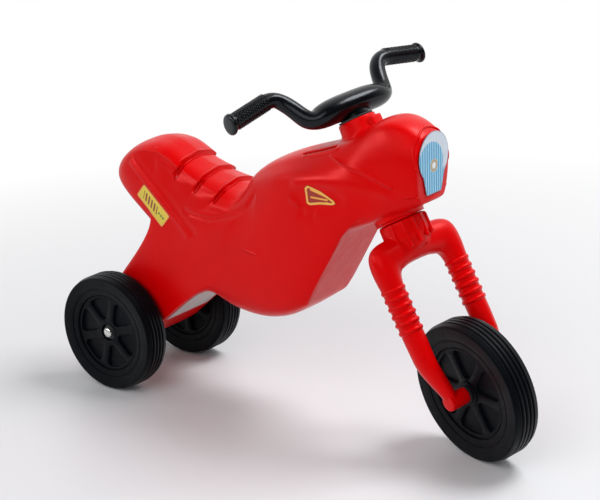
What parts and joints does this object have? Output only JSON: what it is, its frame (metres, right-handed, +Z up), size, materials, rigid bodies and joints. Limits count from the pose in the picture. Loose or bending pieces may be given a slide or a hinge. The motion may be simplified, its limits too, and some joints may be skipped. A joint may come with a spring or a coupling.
{
  "type": "kids ride-on motorcycle",
  "caption": "Blow-moulded ride-on toy shaped like a motorcycle, with a stepped saddle, a raked steering fork, a wide handlebar and free-rolling wheels.",
  "frame": {"origin": "on the ground, under the middle of the whole toy's box with the steering turned 17.4 degrees to the right as pictured; the body's middle plane is at y = -9.3 mm and the rear axle at x = -284.3 mm, z = 85 mm", "axes": "+X forward, towards the headlight; +Y to the rider's left; +Z up"},
  "size_m": [0.7385, 0.3087, 0.4981],
  "materials": {
    "red_shell": "semi-gloss blow-moulded polyethylene",
    "black_wheel": "satin moulded polyethylene",
    "black_handlebar": "gloss blow-moulded polyethylene",
    "nylon": "moulded nylon",
    "steel": "bright zinc plating",
    "yellow_sticker": "gloss vinyl",
    "blue_sticker": "gloss vinyl",
    "pale_sticker": "gloss vinyl"
  },
  "bodies": {
    "frame": {"body_shell": "red_shell", "rear_axle": "steel", "rear_axle_bush_right": "nylon", "rear_axle_bush_left": "nylon", "rear_spacer_right": "nylon", "rear_spacer_left": "nylon", "rear_axle_washer_right": "nylon", "rear_axle_washer_left": "nylon", "rear_axle_cap_right": "steel", "rear_axle_cap_left": "steel", "steering_upper_bush": "nylon", "steering_lower_bush": "red_shell", "tail_plate_right": "yellow_sticker", "tail_plate_left": "yellow_sticker", "tank_badge_right": "yellow_sticker", "tank_badge_left": "yellow_sticker", "headlight_sticker": "blue_sticker", "leg_label": "pale_sticker"},
    "steering": {"fork": "red_shell", "handlebar": "black_handlebar", "steering_bolt": "steel", "steering_bolt_washer": "steel", "steering_nut": "steel", "steering_nut_washer": "steel", "front_axle": "steel", "front_washer_right": "nylon", "front_washer_left": "nylon"},
    "front_wheel": {"front_wheel": "black_wheel", "front_wheel_bush_right": "nylon", "front_wheel_bush_left": "nylon"},
    "rear_wheel_right": {"rear_wheel_right": "black_wheel", "rear_wheel_right_outer_bush": "nylon", "rear_wheel_right_inner_bush": "nylon"},
    "rear_wheel_left": {"rear_wheel_left": "black_wheel", "rear_wheel_left_outer_bush": "nylon", "rear_wheel_left_inner_bush": "nylon"}
  },
  "joints": [
    {"name": "steering_hinge", "type": "hinge", "parent": "frame", "child": "steering", "pos_m": [0.1593, -0.0093, 0.3073], "axis": [-0.4772, 0, 0.8788], "range_deg": [-22.6, 57.4]},
    {"name": "front_wheel_spin", "type": "hinge", "parent": "steering", "child": "front_wheel", "pos_m": [0.27397, -0.0093, 0.0961], "axis": [0.2628, 0.9542, 0.1427], "continuous": true},
    {"name": "rear_wheel_right_spin", "type": "hinge", "parent": "frame", "child": "rear_wheel_right", "pos_m": [-0.2843, -0.092, 0.085], "axis": [0, 1, 0], "continuous": true},
    {"name": "rear_wheel_left_spin", "type": "hinge", "parent": "frame", "child": "rear_wheel_left", "pos_m": [-0.2843, 0.0734, 0.085], "axis": [0, 1, 0], "continuous": true}
  ]
}
